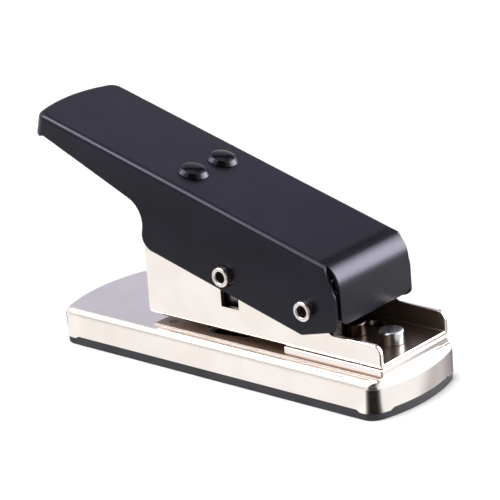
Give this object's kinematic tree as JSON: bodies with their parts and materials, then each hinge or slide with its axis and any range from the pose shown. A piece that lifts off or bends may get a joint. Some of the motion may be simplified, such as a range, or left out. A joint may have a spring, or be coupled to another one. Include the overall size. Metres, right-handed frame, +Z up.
{
  "type": "guitar pick punch",
  "caption": "Hand-pressed plectrum punch: a sprung lever handle on a bright channel frame drives a pick-shaped punch through a die on a hollow base with a dark mat.",
  "frame": {"origin": "middle of the mat's underside, which rests on the table", "axes": "+X along the base towards the open front end of the frame, +Y across the width, +Z up"},
  "size_m": [0.1328, 0.04, 0.0732],
  "materials": {
    "mat": "matte moulded",
    "nickel": "bright nickel plate",
    "steel": "ground",
    "spring_steel": "drawn wire",
    "black_paint": "satin powder coat",
    "black_rivet": "satin",
    "black_oxide": "black oxide"
  },
  "bodies": {
    "base": {"base_mat": "mat", "base_shell": "nickel", "backing_plate": "steel", "die_plate": "nickel", "die_rivets": "steel", "spacer_plate": "nickel", "frame": "nickel", "clamp_posts": "nickel", "dowels": "steel", "guide_plate": "steel", "guide_rivets": "steel", "spring_posts": "steel", "rear_return_spring": "spring_steel", "front_return_spring": "spring_steel", "pivot_pin": "nickel", "pivot_sleeve": "steel"},
    "handle": {"handle_shell": "black_paint", "handle_stiffener": "black_paint", "handle_rivets": "black_rivet"},
    "ram": {"punch": "steel", "crosshead": "steel", "punch_screws": "black_oxide", "drive_pin": "nickel"}
  },
  "joints": [
    {"name": "handle_pivot", "type": "hinge", "parent": "base", "child": "handle", "pos_m": [0.0357, 0, 0.02878], "axis": [0, -1, 0], "range_deg": [0, 14], "stiffness_Nm_per_rad": 2.8, "springref_deg": -7.45},
    {"name": "ram_slide", "type": "slide", "parent": "base", "child": "ram", "axis": [0, 0, -1], "range_m": [0, 0.00742], "deforming": ["rear_return_spring", "front_return_spring"]}
  ],
  "couplings": [
    {"joint": "ram_slide", "follows": "handle_pivot", "m_per_rad": 0.03034}
  ]
}
